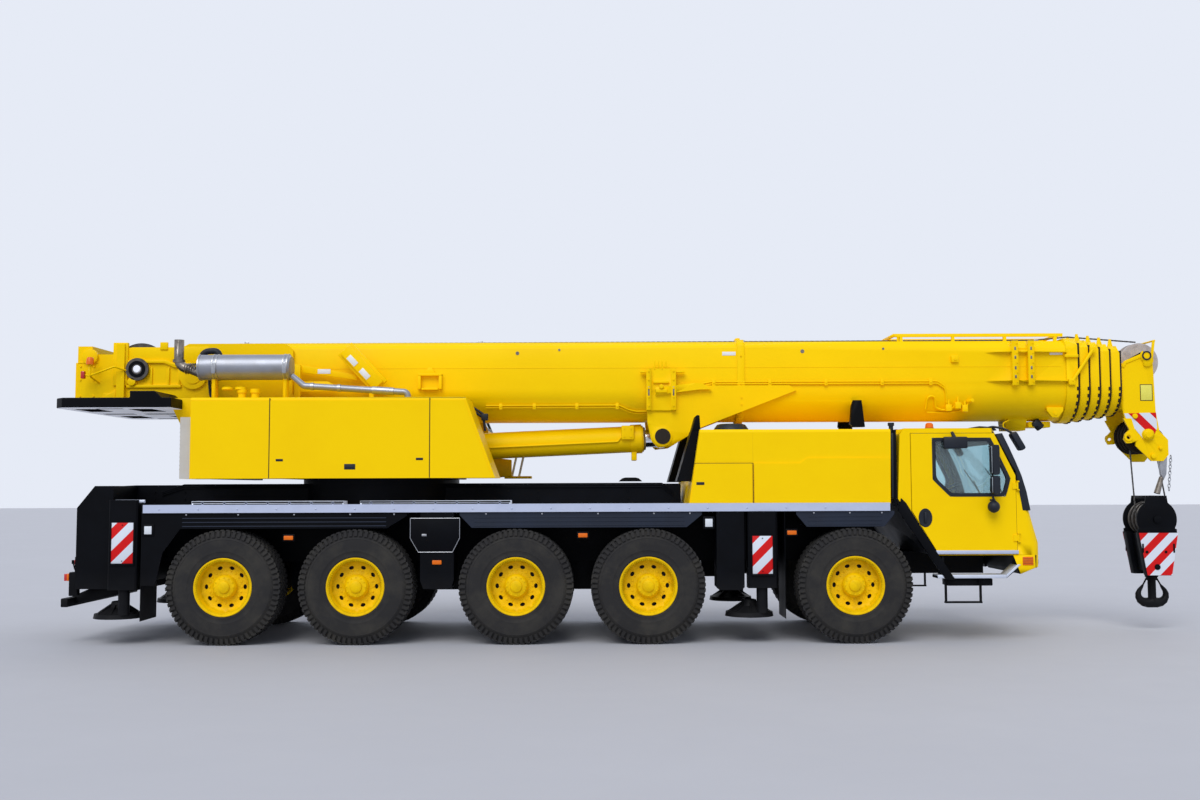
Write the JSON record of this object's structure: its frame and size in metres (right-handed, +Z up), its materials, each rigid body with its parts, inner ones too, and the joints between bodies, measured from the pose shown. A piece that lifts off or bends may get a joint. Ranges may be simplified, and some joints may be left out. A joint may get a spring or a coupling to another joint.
{
  "type": "mobile crane",
  "caption": "All-terrain mobile crane with a slewing superstructure, a luffing telescopic boom and a hook block, folded for the road.",
  "frame": {"origin": "on the ground, under the centre of the overall box, wheels standing on z = 0", "axes": "+X forward to the driver's cab and the boom's head, +Y to the left, +Z up"},
  "size_m": [14.76, 3.166, 4.0108],
  "materials": {
    "yellow_paint": "glossy signal yellow",
    "black_paint": "satin black",
    "deck_aluminium": "ribbed mill aluminium",
    "bright_steel": "polished rod",
    "silencer_steel": "aluminised sheet",
    "cast_block": "plain casting",
    "grey_trim": "matt dark grey",
    "sheave_steel": "grey cast sheaves",
    "tyre": "black tread rubber on a yellow steel wheel"
  },
  "bodies": {
    "carrier": {"chassis_frame": "black_paint", "axle_beams": "black_paint", "suspension": "black_paint", "carrier_deck": "deck_aluminium", "mudguards": "black_paint", "carrier_hood": "yellow_paint", "intake_cap": "black_paint", "cooler_outlets": "black_paint", "carrier_engine": "cast_block", "driver_cab": "yellow_paint", "cab_interior": "grey_trim", "front_bumper": "black_paint"},
    "superstructure": {"turntable": "yellow_paint", "superstructure_hood": "yellow_paint", "superstructure_engine": "cast_block", "exhaust": "silencer_steel", "crane_cab": "yellow_paint", "counterweight": "black_paint"},
    "operator_door": {"crane_cab_door": "yellow_paint"},
    "winch": {"winch_drum": "black_paint"},
    "boom": {"boom_base": "yellow_paint", "luffing_bracket": "yellow_paint"},
    "head_top_sheaves": {"top_sheaves": "sheave_steel"},
    "hoist_fall": {"lower_sheaves": "sheave_steel", "hoist_ropes": "bright_steel"},
    "block": {"hook_block": "black_paint"},
    "crane_hook": {"hook": "black_paint"},
    "luffing_barrel": {"luff_barrel": "yellow_paint"},
    "luffing_rod": {"luff_rod": "bright_steel"},
    "knuckle_1_right": {"knuckle_1_right": "black_paint"},
    "wheel_1_right": {"wheel_1_right": "tyre"},
    "knuckle_1_left": {"knuckle_1_left": "black_paint"},
    "wheel_1_left": {"wheel_1_left": "tyre"},
    "knuckle_2_right": {"knuckle_2_right": "black_paint"},
    "wheel_2_right": {"wheel_2_right": "tyre"},
    "knuckle_2_left": {"knuckle_2_left": "black_paint"},
    "wheel_2_left": {"wheel_2_left": "tyre"},
    "knuckle_3_right": {"knuckle_3_right": "black_paint"},
    "wheel_3_right": {"wheel_3_right": "tyre"},
    "knuckle_3_left": {"knuckle_3_left": "black_paint"},
    "wheel_3_left": {"wheel_3_left": "tyre"},
    "knuckle_4_right": {"knuckle_4_right": "black_paint"},
    "wheel_4_right": {"wheel_4_right": "tyre"},
    "knuckle_4_left": {"knuckle_4_left": "black_paint"},
    "wheel_4_left": {"wheel_4_left": "tyre"},
    "knuckle_5_right": {"knuckle_5_right": "black_paint"},
    "wheel_5_right": {"wheel_5_right": "tyre"},
    "knuckle_5_left": {"knuckle_5_left": "black_paint"},
    "wheel_5_left": {"wheel_5_left": "tyre"},
    "outrigger_front_right": {"outrigger_front_right": "black_paint"},
    "outrigger_front_left": {"outrigger_front_left": "black_paint"},
    "outrigger_rear_right": {"outrigger_rear_right": "black_paint"},
    "outrigger_rear_left": {"outrigger_rear_left": "black_paint"},
    "cab_door_right": {"cab_door_right": "yellow_paint"},
    "cab_door_left": {"cab_door_left": "yellow_paint"},
    "section_1": {"boom_section_1": "yellow_paint"},
    "section_2": {"boom_section_2": "yellow_paint"},
    "section_3": {"boom_section_3": "yellow_paint"},
    "section_4": {"boom_section_4": "yellow_paint"},
    "section_5": {"boom_section_5": "yellow_paint"}
  },
  "joints": [
    {"name": "steer_1_right", "type": "hinge", "parent": "carrier", "child": "knuckle_1_right", "pos_m": [2.805, -0.985, 0.717], "axis": [0, 0, 1], "range_deg": [-35, 35]},
    {"name": "spin_1_right", "type": "hinge", "parent": "knuckle_1_right", "child": "wheel_1_right", "pos_m": [2.805, -1.218, 0.717], "axis": [0, 1, 0], "continuous": true},
    {"name": "steer_1_left", "type": "hinge", "parent": "carrier", "child": "knuckle_1_left", "pos_m": [2.805, 0.985, 0.717], "axis": [0, 0, 1], "range_deg": [-35, 35]},
    {"name": "spin_1_left", "type": "hinge", "parent": "knuckle_1_left", "child": "wheel_1_left", "pos_m": [2.805, 1.218, 0.717], "axis": [0, 1, 0], "continuous": true},
    {"name": "steer_2_right", "type": "hinge", "parent": "carrier", "child": "knuckle_2_right", "pos_m": [0.225, -0.985, 0.717], "axis": [0, 0, 1], "range_deg": [-18.5, 18.5]},
    {"name": "spin_2_right", "type": "hinge", "parent": "knuckle_2_right", "child": "wheel_2_right", "pos_m": [0.225, -1.218, 0.717], "axis": [0, 1, 0], "continuous": true},
    {"name": "steer_2_left", "type": "hinge", "parent": "carrier", "child": "knuckle_2_left", "pos_m": [0.225, 0.985, 0.717], "axis": [0, 0, 1], "range_deg": [-18.5, 18.5]},
    {"name": "spin_2_left", "type": "hinge", "parent": "knuckle_2_left", "child": "wheel_2_left", "pos_m": [0.225, 1.218, 0.717], "axis": [0, 1, 0], "continuous": true},
    {"name": "steer_3_right", "type": "hinge", "parent": "carrier", "child": "knuckle_3_right", "pos_m": [-1.425, -0.985, 0.717], "axis": [0, 0, 1], "range_deg": [-6, 6]},
    {"name": "spin_3_right", "type": "hinge", "parent": "knuckle_3_right", "child": "wheel_3_right", "pos_m": [-1.425, -1.218, 0.717], "axis": [0, 1, 0], "continuous": true},
    {"name": "steer_3_left", "type": "hinge", "parent": "carrier", "child": "knuckle_3_left", "pos_m": [-1.425, 0.985, 0.717], "axis": [0, 0, 1], "range_deg": [-6, 6]},
    {"name": "spin_3_left", "type": "hinge", "parent": "knuckle_3_left", "child": "wheel_3_left", "pos_m": [-1.425, 1.218, 0.717], "axis": [0, 1, 0], "continuous": true},
    {"name": "steer_4_right", "type": "hinge", "parent": "carrier", "child": "knuckle_4_right", "pos_m": [-3.425, -0.985, 0.717], "axis": [0, 0, 1], "range_deg": [-11, 11]},
    {"name": "spin_4_right", "type": "hinge", "parent": "knuckle_4_right", "child": "wheel_4_right", "pos_m": [-3.425, -1.218, 0.717], "axis": [0, 1, 0], "continuous": true},
    {"name": "steer_4_left", "type": "hinge", "parent": "carrier", "child": "knuckle_4_left", "pos_m": [-3.425, 0.985, 0.717], "axis": [0, 0, 1], "range_deg": [-11, 11]},
    {"name": "spin_4_left", "type": "hinge", "parent": "knuckle_4_left", "child": "wheel_4_left", "pos_m": [-3.425, 1.218, 0.717], "axis": [0, 1, 0], "continuous": true},
    {"name": "steer_5_right", "type": "hinge", "parent": "carrier", "child": "knuckle_5_right", "pos_m": [-5.075, -0.985, 0.717], "axis": [0, 0, 1], "range_deg": [-23, 23]},
    {"name": "spin_5_right", "type": "hinge", "parent": "knuckle_5_right", "child": "wheel_5_right", "pos_m": [-5.075, -1.218, 0.717], "axis": [0, 1, 0], "continuous": true},
    {"name": "steer_5_left", "type": "hinge", "parent": "carrier", "child": "knuckle_5_left", "pos_m": [-5.075, 0.985, 0.717], "axis": [0, 0, 1], "range_deg": [-23, 23]},
    {"name": "spin_5_left", "type": "hinge", "parent": "knuckle_5_left", "child": "wheel_5_left", "pos_m": [-5.075, 1.218, 0.717], "axis": [0, 1, 0], "continuous": true},
    {"name": "outrigger_front_right_slide", "type": "slide", "parent": "carrier", "child": "outrigger_front_right", "axis": [0, -1, 0], "range_m": [0, 2.1]},
    {"name": "outrigger_front_left_slide", "type": "slide", "parent": "carrier", "child": "outrigger_front_left", "axis": [0, 1, 0], "range_m": [0, 2.1]},
    {"name": "outrigger_rear_right_slide", "type": "slide", "parent": "carrier", "child": "outrigger_rear_right", "axis": [0, -1, 0], "range_m": [0, 2.1]},
    {"name": "outrigger_rear_left_slide", "type": "slide", "parent": "carrier", "child": "outrigger_rear_left", "axis": [0, 1, 0], "range_m": [0, 2.1]},
    {"name": "cab_door_right_hinge", "type": "hinge", "parent": "carrier", "child": "cab_door_right", "pos_m": [4.856, -1.392, 1.625], "axis": [0, 0, 1], "range_deg": [0, 70]},
    {"name": "cab_door_left_hinge", "type": "hinge", "parent": "carrier", "child": "cab_door_left", "pos_m": [4.856, 1.392, 1.625], "axis": [0, 0, -1], "range_deg": [0, 70]},
    {"name": "operator_door_slide", "type": "slide", "parent": "superstructure", "child": "operator_door", "axis": [-1, 0, 0], "range_m": [0, 0.72]},
    {"name": "slew", "type": "hinge", "parent": "carrier", "child": "superstructure", "pos_m": [-3.344, 0, 2.05], "axis": [0, 0, 1], "continuous": true},
    {"name": "luff", "type": "hinge", "parent": "superstructure", "child": "boom", "pos_m": [-5.79, 0, 3.45], "axis": [0, -1, 0], "range_deg": [0, 82]},
    {"name": "luffing_barrel_hinge", "type": "hinge", "parent": "superstructure", "child": "luffing_barrel", "pos_m": [-4.77, 0, 2.388], "axis": [0, -1, 0], "range_deg": [0, 83]},
    {"name": "luffing_rod_slide", "type": "slide", "parent": "luffing_barrel", "child": "luffing_rod", "axis": [0.999, 0, 0.0445], "range_m": [0, 1.94]},
    {"name": "telescope_1", "type": "slide", "parent": "boom", "child": "section_1", "axis": [1, 0, 0], "range_m": [0, 9.4]},
    {"name": "telescope_2", "type": "slide", "parent": "section_1", "child": "section_2", "axis": [1, 0, 0], "range_m": [0, 9.4]},
    {"name": "telescope_3", "type": "slide", "parent": "section_2", "child": "section_3", "axis": [1, 0, 0], "range_m": [0, 9.4]},
    {"name": "telescope_4", "type": "slide", "parent": "section_3", "child": "section_4", "axis": [1, 0, 0], "range_m": [0, 9.4]},
    {"name": "telescope_5", "type": "slide", "parent": "section_4", "child": "section_5", "axis": [1, 0, 0], "range_m": [0, 9.4]},
    {"name": "winch_turn", "type": "hinge", "parent": "superstructure", "child": "winch", "pos_m": [-6.528, 0, 3.535], "axis": [0, 1, 0], "continuous": true},
    {"name": "top_sheave_spin", "type": "hinge", "parent": "section_5", "child": "head_top_sheaves", "pos_m": [7.005, 0, 3.635], "axis": [0, 1, 0], "continuous": true},
    {"name": "fall_hang", "type": "hinge", "parent": "section_5", "child": "hoist_fall", "pos_m": [7.11, 0, 2.56], "axis": [0, 1, 0], "range_deg": [0, 82]},
    {"name": "hoist", "type": "slide", "parent": "hoist_fall", "child": "block", "axis": [0, 0, -1], "range_m": [-0.1, 0.25], "deforming": ["hoist_ropes"]},
    {"name": "hook_turn", "type": "hinge", "parent": "block", "child": "crane_hook", "pos_m": [7.11, 0, 0.9], "axis": [0, 0, 1], "continuous": true}
  ],
  "couplings": [
    {"joint": "steer_1_left", "follows": "steer_1_right", "ratio": 1},
    {"joint": "steer_2_right", "follows": "steer_1_right", "ratio": 0.52},
    {"joint": "steer_2_left", "follows": "steer_1_right", "ratio": 0.52},
    {"joint": "steer_3_right", "follows": "steer_1_right", "ratio": 0.16},
    {"joint": "steer_3_left", "follows": "steer_1_right", "ratio": 0.16},
    {"joint": "steer_4_right", "follows": "steer_1_right", "ratio": -0.31},
    {"joint": "steer_4_left", "follows": "steer_1_right", "ratio": -0.31},
    {"joint": "steer_5_right", "follows": "steer_1_right", "ratio": -0.65},
    {"joint": "steer_5_left", "follows": "steer_1_right", "ratio": -0.65},
    {"joint": "luffing_barrel_hinge", "follows": "luff", "ratio": 1.001},
    {"joint": "luffing_rod_slide", "follows": "luff", "m_per_rad": 1.35},
    {"joint": "fall_hang", "follows": "luff", "ratio": 1}
  ]
}
